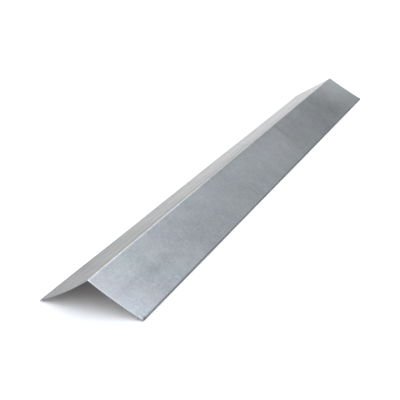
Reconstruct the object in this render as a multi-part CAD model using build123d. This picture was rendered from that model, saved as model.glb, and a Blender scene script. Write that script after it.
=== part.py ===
from build123d import *

import math
import os

# V flashing: one strip of galvanised sheet steel, folded once along its middle.
# It lies as an inverted V, on the lower corners of its two long cut edges.
# X runs along the ridge, the left wing falls away to +Y and the right one to -Y, and Z is up.
# The origin is on the floor, below the middle of the ridge.

# Driving dimensions, in millimetres and degrees
length = 1500.0  # cut length, along the ridge
girth = 200.0  # width of the flat strip, before it is folded
sheet_thickness = 1.0  # 20 gauge steel with its zinc coating
included_angle = 120.0  # between the two wings, measured underneath
inside_radius = 2.0  # of the fold, on its underside
neutral_layer = 0.42  # share of the thickness, from the inside, that folding leaves unstretched

# The fold, and what it takes out of the strip
fold_turn = 180.0 - included_angle
wing_slope = fold_turn / 2
neutral_radius = inside_radius + neutral_layer * sheet_thickness
fold_allowance = math.radians(fold_turn) * neutral_radius

# Each wing is flat from the end of the fold to its cut edge
wing_flat = (girth - fold_allowance) / 2

# The axis of the fold stands where the wings' lower corners meet the floor
wing_drop = wing_flat * math.sin(math.radians(wing_slope))
fold_axis_height = wing_drop - inside_radius * math.cos(math.radians(wing_slope))


def underside_line():
    """The underside of the section, across the ridge: left wing, fold, right wing."""
    fold = CenterArc((0, fold_axis_height), inside_radius, 90 - wing_slope, fold_turn)
    left_wing = PolarLine(fold @ 0, wing_flat, -wing_slope)
    right_wing = PolarLine(fold @ 1, wing_flat, 180 + wing_slope)
    return Wire([left_wing.edge(), fold.edge(), right_wing.edge()])


def flashing_sheet():
    """The folded sheet: the underside line thickened outwards, then drawn out along the ridge."""
    outline = offset(underside_line(), amount=sheet_thickness, side=Side.LEFT)
    section = Plane.YZ * make_face(outline.edges())
    return extrude(section, amount=length / 2, both=True)


sheet = flashing_sheet()
sheet.label = "flashing_sheet"

os.makedirs("parts", exist_ok=True)
export_step(sheet, "parts/flashing_sheet.step")

box = sheet.bounding_box()
print(f"strip {girth:g} mm wide: two flats of {wing_flat:.2f} mm and {fold_allowance:.2f} mm in the fold")
print(f"overall {box.size.X:.2f} x {box.size.Y:.2f} x {box.size.Z:.2f} mm, lowest point z {box.min.Z:.4f}")
print(f"volume {sheet.volume:.1f} mm3, section times length {girth * sheet_thickness * length:.1f} mm3")
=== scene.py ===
import math

import bmesh
import bpy
import numpy as np
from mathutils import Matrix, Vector


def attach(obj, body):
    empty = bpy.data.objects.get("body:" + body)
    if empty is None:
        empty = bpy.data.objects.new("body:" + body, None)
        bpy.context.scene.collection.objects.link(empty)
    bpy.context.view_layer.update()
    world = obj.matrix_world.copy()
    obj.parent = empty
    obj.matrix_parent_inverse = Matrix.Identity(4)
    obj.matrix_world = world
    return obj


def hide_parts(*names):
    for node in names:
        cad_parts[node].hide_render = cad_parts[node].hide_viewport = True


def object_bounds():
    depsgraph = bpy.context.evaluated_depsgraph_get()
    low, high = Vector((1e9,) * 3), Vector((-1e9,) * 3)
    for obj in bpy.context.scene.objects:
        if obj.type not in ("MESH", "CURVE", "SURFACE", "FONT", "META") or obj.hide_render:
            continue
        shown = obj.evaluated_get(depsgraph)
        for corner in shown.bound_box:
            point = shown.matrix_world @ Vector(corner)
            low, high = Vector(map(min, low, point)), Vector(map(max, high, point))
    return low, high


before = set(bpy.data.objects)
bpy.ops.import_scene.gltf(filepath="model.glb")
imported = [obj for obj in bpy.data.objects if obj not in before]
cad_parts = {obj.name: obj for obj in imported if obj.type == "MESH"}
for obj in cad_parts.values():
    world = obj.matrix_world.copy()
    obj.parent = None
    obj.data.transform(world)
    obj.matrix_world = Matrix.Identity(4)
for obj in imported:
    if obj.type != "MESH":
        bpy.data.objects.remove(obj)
cad_low, cad_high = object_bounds()

# V flashing: a strip of galvanised sheet steel, folded once along its middle.
# All sizes are in metres and all angles in degrees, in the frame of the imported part.

# The folded sheet, as the part was drawn
LENGTH = cad_high.x - cad_low.x
GIRTH = 0.200
SHEET = 0.001
INSIDE_RADIUS = 0.002
WING_SLOPE = 30.0
NEUTRAL_LAYER = 0.42  # share of the thickness, from the inside, that folding leaves unstretched

# How a real length departs from the drawing
LEFT_HOLLOW = (0.0025, 0.0)  # at the middle of the left wing, at the front and the far end
RIGHT_HOLLOW = (0.0015, 0.0010)  # and of the right wing
LEFT_DROP = 0.0010  # of the left wing's far corner, from a slight twist
LEFT_SHORT = (0.013, 0.022)  # its ends are cut a little out of square, back this far at the corners
EDGE_WAVE = 0.0003  # rise and fall of the free edges along the length

# The waves of the free edges: turns along the length, phase, change of phase by side, and share
EDGE_WAVES = (
    (1.7, 0.6, 1.0, 0.65),
    (4.3, 2.1, -2.0, 0.35),
)

# The sheared edges
EDGE_ROUNDING = 0.00045
EDGE_SEGMENTS = 2
ROUND_PROFILE = 0.5  # a quarter circle
WELD = 0.000002  # points closer than this are one
SHARP_ANGLE = 40.0  # steeper edges between faces are shaded sharp

# Steps of the mesh
STEPS_ALONG = 240
STEPS_WING = 20
STEPS_FOLD = 6  # in each half of the fold

# The camera, at the photograph's viewing angle
CAMERA_TARGET = (-0.2080, 0.0250, 0.0)
CAMERA_DISTANCE = 2.0256
CAMERA_HEADING = 200.100  # of the camera from its target, turned from +X towards +Y
CAMERA_ELEVATION = 18.509
CAMERA_LENS = 94.53  # millimetres, on the sensor below
CAMERA_SENSOR = 36.0

# The stage
FLOOR_SIDE = 60.0
FLOOR_DROP = 0.0010  # a real sheet is never quite true, so its edges stand a little off the floor
FLOOR_PALE = (0.82, 0.82, 0.82, 1)  # as it lights the sheet
FLOOR_SHOWN = (1.262, 1.205, 1.153, 1)  # as the camera and reflections see it: white, where no shadow falls

# Tints of the light
HORIZON_TINT = (0.89, 1.0, 1.13)
LOW_TINT = (0.93, 1.0, 1.03)
HIGH_TINT = (0.92, 1.0, 1.105)
WHITE = (1.0, 1.0, 1.0)

# The dome: brightness and tint at each sine of the elevation
SKY_STOPS = (
    (0.0, 0.26, HORIZON_TINT),
    (0.30, 0.34, LOW_TINT),
    (0.42, 0.37, LOW_TINT),
    (0.60, 1.30, HIGH_TINT),
    (1.0, 1.05, HIGH_TINT),
)

# The lamps: name, point faced, heading and elevation from it, distance, width, height, radiance and tint
SOFTBOXES = (
    ("fold_light", (-0.48, 0, 0.05), 27.5, 18.5, 3.1, 0.7, 0.7, 4.9, HIGH_TINT),
    ("low_light", (0.75, 0, 0.03), 26.0, 7.5, 2.05, 1.6, 0.5, 0.94, WHITE),
    ("front_light", (-0.75, 0, 0.02), 190.0, 12.0, 3.5, 2.2, 1.2, 0.55, HIGH_TINT),
    ("far_light", (0.75, -0.04, 0.03), -5.0, 12.0, 0.6, 0.30, 0.08, 0.5, LOW_TINT),
)

# The zinc's colours and gloss
ZINC_DULL = (0.255, 0.26, 0.265, 1)
ZINC_BRIGHT = (0.945, 0.95, 0.955, 1)
CUT_STEEL = (0.35, 0.35, 0.35, 1)
GRAZING_TINT = (0.597, 0.562, 0.519, 1)  # dull zinc reflects less than clean metal does at low angles
ROUGHEST = 0.37
SMOOTHEST = 0.23
# Painted contact shadow along both free edges, where they stand on the floor
FOOT_SHADOW_BAND = 0.0024  # the painted contact shadow starts this far in from the free edges, where they stand on the floor
FOOT_SHADOW_FADE = 0.0016  # and is fully dark after this much of it
FOOT_SHADOW_COLOUR = (0.24, 0.24, 0.24, 1)

# The zinc's textures: features in a metre, and detail
MOTTLE_SCALE = 45.0
CLOUD_SCALE = 9.0
SPANGLE_SCALE = 260.0
GRAIN_SCALE = 500.0
GRAIN_STRETCH = (0.35, 1.0, 1.0)  # the grain is drawn out along the roll
LINE_STRETCH = (0.7, 480.0, 480.0)  # the lines are long along the roll and close together across it
LINE_SCALE = 1.0  # because the stretch already sets their size
HUE_SCALE = 13.0
CLOUD_DETAIL = 3.0
FINE_DETAIL = 2.0
NOISE_ROUGHNESS = 0.6
TEXTURE_MEAN = 0.5

# How much each texture counts
MOTTLE_WEIGHT = 0.26
SPANGLE_WEIGHT = 0.16
GRAIN_WEIGHT = 0.39
CLOUD_WEIGHT = 0.40
LINE_WEIGHT = 0.05
LEFT_LINE_SHEEN_WEIGHT = 1.3  # the lines are painted stronger on the left wing, as painted reflection streaks
LEFT_FROM = 0.003  # which starts this far across
HUE_SHARE = 0.06  # of the faint hues that the zinc's patina varies in
GLOSS_LINE_WEIGHT = 0.40
RELIEF_GRAIN_WEIGHT = 0.05
RELIEF_STRENGTH = 1.0
RELIEF_DEPTH = 0.0006

# Soft marks on the zinc: centre along and across, reach along and across, and strength. Some are painted
# highlights and painted shade, as noted.
TONE_MARKS_AND_PAINTED_LIGHT = (
    # Right wing, from the far end to the front
    (0.84, -0.008, 0.350, 0.078, 0.52),  # painted highlight: brighter reflection at the far end, beside the far lamp
    (0.45, -0.050, 0.300, 0.085, -0.17),  # dull stretch before it
    (0.206, -0.012, 0.020, 0.055, -0.16),  # faint line across, from the roll
    (0.03, -0.015, 0.22, 0.050, 0.12),  # brighter stretch halfway
    (-0.115, -0.030, 0.10, 0.070, 0.09),  # bright patch
    (-0.425, -0.060, 0.325, 0.070, -0.12),  # dull stretch near the front
    (-0.577, -0.030, 0.10, 0.060, 0.09),  # bright patch
    (-0.62, -0.047, 0.130, 0.012, -0.10),  # faint rub along
    (-0.71, -0.040, 0.070, 0.006, -0.11),  # and its narrow end
    (-0.75, -0.055, 0.125, 0.12, 0.17),  # brighter front end
    (-0.75, -0.030, 0.004, 0.070, 0.80),  # painted highlight along the rim of the front cut
    (-0.75, -0.087, 0.013, 0.013, -0.36),  # painted shade at the lower front corner, where the painted rim highlight ends
    # Fold
    (0.10, -0.010, 2.0, 0.040, 0.07),  # painted sheen: brighter reflection beside the ridge
    (-0.48, 0.0020, 0.27, 0.0045, 0.46),  # painted highlight along the fold
    (-0.30, 0.0110, 1.2, 0.0065, -0.42),  # painted dark reflection along the fold's other foot
    # Left wing
    (0.05, 0.022, 0.50, 0.040, -0.22),  # painted shade: darker stretch below the fold
    (-0.40, 0.065, 0.20, 0.060, 0.25),  # bright patches, towards the front
    (-0.60, 0.052, 0.12, 0.050, 0.24),
    (-0.74, 0.075, 0.12, 0.060, 0.25),
)
MARK_HEIGHT = 10.0  # reach of a mark up and down, far past the sheet, so that it doesn't fade with height


# Objects

def new_object(name, data):
    """An object of that data, in the scene."""
    made = bpy.data.objects.new(name, data)
    bpy.context.scene.collection.objects.link(made)
    return made


def aim(holder, target, heading, elevation, distance):
    """Puts a lamp or a camera at that heading, elevation and distance from a point, facing it."""
    turn = math.radians(heading)
    rise = math.radians(elevation)
    flat = math.cos(rise)
    out = Vector((flat * math.cos(turn), flat * math.sin(turn), math.sin(rise)))
    holder.location = Vector(target) + out * distance
    holder.rotation_mode = "QUATERNION"
    holder.rotation_quaternion = out.to_track_quat("Z", "Y")


# The sheet's shape

def half_section():
    """Middle layer of one half of the section, from the ridge to the cut edge.

    Gives the run outwards, the height and the tilt of the normal at each step, and each step's
    share of the wing: 0 in the fold and up to 1 at the cut edge.
    """
    slope = math.radians(WING_SLOPE)
    flat = (GIRTH - 2 * slope * (INSIDE_RADIUS + NEUTRAL_LAYER * SHEET)) / 2
    middle_radius = INSIDE_RADIUS + SHEET / 2
    tilts = np.concatenate([np.linspace(0, slope, STEPS_FOLD + 1), np.full(STEPS_WING, slope)])
    shares = np.concatenate([np.zeros(STEPS_FOLD), np.linspace(0, 1, STEPS_WING + 1)])
    fold_step = middle_radius * slope / STEPS_FOLD
    steps = np.concatenate([np.full(STEPS_FOLD, fold_step), np.full(STEPS_WING, flat / STEPS_WING)])
    between = (tilts[1:] + tilts[:-1]) / 2
    run = np.concatenate([[0], np.cumsum(steps * np.cos(between))])
    drop = np.concatenate([[0], np.cumsum(steps * np.sin(between))])
    foot = drop[-1] + SHEET / 2 * math.cos(tilts[-1])
    return run, foot - drop, tilts, shares


def whole_section():
    """The section from the right cut edge, over the ridge, to the left cut edge."""
    run, height, tilts, shares = half_section()
    across = np.concatenate([-run[:0:-1], run])
    height = np.concatenate([height[:0:-1], height])
    tilts = np.concatenate([-tilts[:0:-1], tilts])
    shares = np.concatenate([shares[:0:-1], shares])
    return across, height, tilts, shares


def wave(along, side):
    """Rise of a free edge along the length, in metres: waves that don't repeat."""
    turn = 2 * math.pi * along / LENGTH
    rise = np.zeros_like(along)
    for turns, phase, by_side, share in EDGE_WAVES:
        rise += share * np.sin(turns * turn + phase + by_side * side)
    return EDGE_WAVE * rise


def bow(shares):
    """1 halfway across a wing, falling to 0 at the fold and at the cut edge."""
    return 4 * shares * (1 - shares)


def sheet_points():
    """Upper and lower surface points, as arrays of along by across by three."""
    across, height, tilts, shares = whole_section()
    ends = (-LENGTH / 2, LENGTH / 2)
    along = np.linspace(*ends, STEPS_ALONG + 1)
    side = np.sign(across)
    left_shares = shares * (side > 0)
    hollow = np.array([np.interp(along, ends, LEFT_HOLLOW if s > 0 else RIGHT_HOLLOW) for s in side]).T
    lift = np.array([wave(along, s) for s in side]).T * shares ** 2
    lift -= hollow * bow(shares)
    lift -= np.interp(along, ends, (0, LEFT_DROP))[:, None] * left_shares
    starts = ends[0] + LEFT_SHORT[0] * left_shares
    stops = ends[1] - LEFT_SHORT[1] * left_shares
    x = np.linspace(starts, stops, STEPS_ALONG + 1)
    layers = []
    for offset in (SHEET / 2, -SHEET / 2):
        y = across + (offset + lift) * np.sin(tilts)
        z = height + (offset + lift) * np.cos(tilts)
        layers.append(np.stack([x, y, z], axis=-1))
    return layers


def closed_shape():
    """The two surfaces joined by their cut faces, and the layer that marks those faces."""
    upper, lower = sheet_points()
    rows, columns = upper.shape[:2]
    shape = bmesh.new()
    top = [[shape.verts.new(p) for p in row] for row in upper]
    under = [[shape.verts.new(p) for p in row] for row in lower]
    for i in range(rows - 1):
        for j in range(columns - 1):
            shape.faces.new((top[i][j], top[i + 1][j], top[i + 1][j + 1], top[i][j + 1]))
            shape.faces.new((under[i][j], under[i][j + 1], under[i + 1][j + 1], under[i + 1][j]))
    cut = shape.faces.layers.float.new("cut_edge")
    cut_faces = []
    for j in range(columns - 1):
        cut_faces.append(shape.faces.new((top[0][j], top[0][j + 1], under[0][j + 1], under[0][j])))
        cut_faces.append(shape.faces.new((top[-1][j + 1], top[-1][j], under[-1][j], under[-1][j + 1])))
    for i in range(rows - 1):
        cut_faces.append(shape.faces.new((top[i + 1][0], top[i][0], under[i][0], under[i + 1][0])))
        cut_faces.append(shape.faces.new((top[i][-1], top[i + 1][-1], under[i + 1][-1], under[i][-1])))
    for face in cut_faces:
        face[cut] = 1.0
    return shape, cut


def sheet_mesh():
    """The closed mesh of the folded sheet, with its sheared edges rounded."""
    shape, cut = closed_shape()
    rims = [e for e in shape.edges if sum(f[cut] for f in e.link_faces) == 1.0]
    bmesh.ops.bevel(
        shape, geom=rims, offset=EDGE_ROUNDING, segments=EDGE_SEGMENTS, profile=ROUND_PROFILE, affect="EDGES"
    )
    bmesh.ops.remove_doubles(shape, verts=shape.verts, dist=WELD)
    bmesh.ops.recalc_face_normals(shape, faces=shape.faces)
    for face in shape.faces:
        face.smooth = True
    mesh = bpy.data.meshes.new("flashing_sheet_skin")
    shape.to_mesh(mesh)
    shape.free()
    mesh.set_sharp_from_angle(angle=math.radians(SHARP_ANGLE))
    return mesh


# Shader nodes

# Sockets of a Mix node that mixes colours
MIX_FACTOR = 0
MIX_FIRST = 6
MIX_SECOND = 7
MIX_COLOUR = 2


class Nodes:
    """The nodes of a material or a world, emptied first, with short ways to add and combine them."""

    def __init__(self, owner):
        owner.use_nodes = True
        self.tree = owner.node_tree
        self.tree.nodes.clear()

    def add(self, kind, inputs=None, **settings):
        """A node of that kind. Each input is a plain value or another node's output."""
        node = self.tree.nodes.new("ShaderNode" + kind)
        for name, setting in settings.items():
            setattr(node, name, setting)
        for name, value in (inputs or {}).items():
            if isinstance(value, bpy.types.NodeSocket):
                self.tree.links.new(value, node.inputs[name])
            else:
                node.inputs[name].default_value = value
        return node

    def math(self, operation, *values, clamp=False):
        """The result of a Math node."""
        node = self.add("Math", dict(enumerate(values)), operation=operation, use_clamp=clamp)
        return node.outputs["Value"]

    def mix(self, factor, first, second):
        """A colour between two others."""
        node = self.add("Mix", {MIX_FACTOR: factor, MIX_FIRST: first, MIX_SECOND: second}, data_type="RGBA")
        return node.outputs[MIX_COLOUR]

    def stretched(self, place, scale):
        """A place, scaled along each axis."""
        return self.add("Mapping", {"Vector": place, "Scale": scale}).outputs["Vector"]

    def noise(self, place, scale, detail):
        """Noise from 0 to 1."""
        inputs = {"Vector": place, "Scale": scale, "Detail": detail, "Roughness": NOISE_ROUGHNESS}
        return self.add("TexNoise", inputs).outputs["Fac"]

    def vary(self, tone, texture, weight):
        """A tone, raised or lowered by how far a texture departs from its mean."""
        departure = self.math("SUBTRACT", texture, TEXTURE_MEAN)
        return self.math("MULTIPLY_ADD", departure, weight, tone)


# The zinc

def roll_lines(nodes, place):
    """Faint lines along the roll."""
    return nodes.noise(nodes.stretched(place, LINE_STRETCH), LINE_SCALE, FINE_DETAIL)


def zinc_grain(nodes, place):
    """Mottle, spangle and fine grain."""
    cells = nodes.add("TexVoronoi", {"Vector": place, "Scale": SPANGLE_SCALE})
    spangle = nodes.add("RGBToBW", {"Color": cells.outputs["Color"]})
    fine = nodes.noise(nodes.stretched(place, GRAIN_STRETCH), GRAIN_SCALE, FINE_DETAIL)
    grain = nodes.vary(TEXTURE_MEAN, nodes.noise(place, MOTTLE_SCALE, CLOUD_DETAIL), MOTTLE_WEIGHT)
    grain = nodes.vary(grain, spangle.outputs["Val"], SPANGLE_WEIGHT)
    return nodes.vary(grain, fine, GRAIN_WEIGHT)


def soft_mark(nodes, place, along, across, reach_along, reach_across):
    """1 at the mark's centre, falling to 0 at its reach."""
    inputs = {
        "Vector": place,
        "Location": (along, across, 0),
        "Scale": (reach_along, reach_across, MARK_HEIGHT),
    }
    centred = nodes.add("Mapping", inputs, vector_type="TEXTURE")
    fade = nodes.add("TexGradient", {"Vector": centred.outputs["Vector"]}, gradient_type="SPHERICAL")
    return fade.outputs["Fac"]


def zinc_tone(nodes, place, across, grain, lines):
    """From 0, dull, to 1, bright: grain, clouds, lines and the soft marks, among them painted highlights and
    painted shade.
    """
    tone = nodes.vary(grain, nodes.noise(place, CLOUD_SCALE, CLOUD_DETAIL), CLOUD_WEIGHT)
    tone = nodes.vary(tone, lines, LINE_WEIGHT)
    # painted reflection streaks: the roll lines, painted stronger on the left wing
    on_left = nodes.math("GREATER_THAN", across, LEFT_FROM)
    tone = nodes.vary(tone, lines, nodes.math("MULTIPLY", on_left, LEFT_LINE_SHEEN_WEIGHT))
    # the soft marks, some of them painted highlights and painted shade
    for *spot, strength in TONE_MARKS_AND_PAINTED_LIGHT:
        tone = nodes.math("MULTIPLY_ADD", soft_mark(nodes, place, *spot), strength, tone)
    return tone


def zinc_colour(nodes, place, across, tone):
    """The tone as a colour, with faint hues, a painted contact shadow along the free edges and bare steel
    where cut.
    """
    shade = nodes.add("ValToRGB", {"Fac": tone})
    shade.color_ramp.elements[0].color = ZINC_DULL
    shade.color_ramp.elements[1].color = ZINC_BRIGHT
    hues = nodes.add("TexNoise", {"Vector": place, "Scale": HUE_SCALE, "Detail": FINE_DETAIL})
    hued = nodes.mix(HUE_SHARE, shade.outputs["Color"], hues.outputs["Color"])
    # painted contact shadow along the free edges, where they stand on the floor
    band = {
        "Value": nodes.math("ABSOLUTE", across),
        "From Min": cad_high.y - FOOT_SHADOW_BAND,
        "From Max": cad_high.y - FOOT_SHADOW_BAND + FOOT_SHADOW_FADE,
    }
    foot_shadow = nodes.add("MapRange", band, interpolation_type="SMOOTHSTEP")
    shadowed = nodes.mix(foot_shadow.outputs["Result"], hued, FOOT_SHADOW_COLOUR)
    cut = nodes.add("Attribute", attribute_name="cut_edge")
    return nodes.mix(cut.outputs["Fac"], shadowed, CUT_STEEL)


def galvanised():
    """Dull zinc, whose gloss and relief follow its grain and the lines of the roll."""
    material = bpy.data.materials.new("galvanised_steel")
    nodes = Nodes(material)
    place = nodes.add("TexCoord").outputs["Object"]
    across = nodes.add("SeparateXYZ", {"Vector": place}).outputs["Y"]
    lines = roll_lines(nodes, place)
    grain = zinc_grain(nodes, place)
    tone = zinc_tone(nodes, place, across, grain, lines)
    gloss = {"Value": nodes.vary(grain, lines, GLOSS_LINE_WEIGHT), "To Min": ROUGHEST, "To Max": SMOOTHEST}
    relief = {
        "Height": nodes.vary(lines, grain, RELIEF_GRAIN_WEIGHT),
        "Strength": RELIEF_STRENGTH,
        "Distance": RELIEF_DEPTH,
    }
    surface = {
        "Base Color": zinc_colour(nodes, place, across, tone),
        "Roughness": nodes.add("MapRange", gloss).outputs["Result"],
        "Normal": nodes.add("Bump", relief).outputs["Normal"],
        "Metallic": 1.0,
        "Specular Tint": GRAZING_TINT,
    }
    metal = nodes.add("BsdfPrincipled", surface)
    nodes.add("OutputMaterial", {"Surface": metal.outputs["BSDF"]})
    return material


# The floor's material

def pale_floor():
    """Matt pale floor, shown as white to the camera and in reflections, with its shadows kept."""
    material = bpy.data.materials.new("pale_floor")
    nodes = Nodes(material)
    path = nodes.add("LightPath").outputs
    seen = nodes.math("ADD", path["Is Camera Ray"], path["Is Glossy Ray"])
    seen = nodes.math("ADD", seen, path["Is Transmission Ray"], clamp=True)
    matt = nodes.add("BsdfDiffuse", {"Color": nodes.mix(seen, FLOOR_PALE, FLOOR_SHOWN)})
    nodes.add("OutputMaterial", {"Surface": matt.outputs["BSDF"]})
    return material


# Pieces

def flashing():
    """The dressed sheet, in place of the plain CAD one."""
    piece = new_object("flashing_sheet_skin", sheet_mesh())
    piece.data.materials.append(galvanised())
    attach(piece, "root")
    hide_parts("flashing_sheet")


def floor():
    """The floor that the sheet lies on."""
    half = FLOOR_SIDE / 2
    mesh = bpy.data.meshes.new("floor")
    corners = [(x, y, -FLOOR_DROP) for x, y in ((-half, -half), (half, -half), (half, half), (-half, half))]
    mesh.from_pydata(corners, [], [(0, 1, 2, 3)])
    mesh.materials.append(pale_floor())
    new_object("floor", mesh)


# Light and camera

def sky():
    """Soft dome: dim near the horizon and brighter overhead."""
    world = bpy.data.worlds.new("studio")
    bpy.context.scene.world = world
    nodes = Nodes(world)
    direction = nodes.add("TexCoord").outputs["Generated"]
    upwards = nodes.add("SeparateXYZ", {"Vector": direction}).outputs["Z"]
    ramp = nodes.add("ValToRGB", {"Fac": upwards})
    stops = ramp.color_ramp.elements
    for height, *_ in SKY_STOPS[1:-1]:
        stops.new(height)
    for stop, (height, level, tint) in zip(stops, SKY_STOPS):
        stop.position = height
        stop.color = [level * share for share in tint] + [1]
    background = nodes.add("Background", {"Color": ramp.outputs["Color"]})
    nodes.add("OutputWorld", {"Surface": background.outputs["Background"]})


def softbox(name, target, heading, elevation, distance, width, height, radiance, tint):
    """Soft lamp at that direction and distance from a point, facing it, unseen by the camera."""
    lamp = bpy.data.lights.new(name, "AREA")
    lamp.shape = "RECTANGLE"
    lamp.size = width
    lamp.size_y = height
    lamp.color = tint
    lamp.energy = radiance * math.pi * width * height
    holder = new_object(name, lamp)
    holder.visible_camera = False
    aim(holder, target, heading, elevation, distance)


def camera():
    """The camera that sees the sheet as the photograph does."""
    lens = bpy.data.cameras.new("camera")
    lens.lens = CAMERA_LENS
    lens.sensor_width = CAMERA_SENSOR
    holder = new_object("camera", lens)
    aim(holder, CAMERA_TARGET, CAMERA_HEADING, CAMERA_ELEVATION, CAMERA_DISTANCE)
    bpy.context.scene.camera = holder


flashing()
floor()
sky()
for box in SOFTBOXES:
    softbox(*box)
camera()
bpy.context.scene.view_settings.view_transform = "Standard"
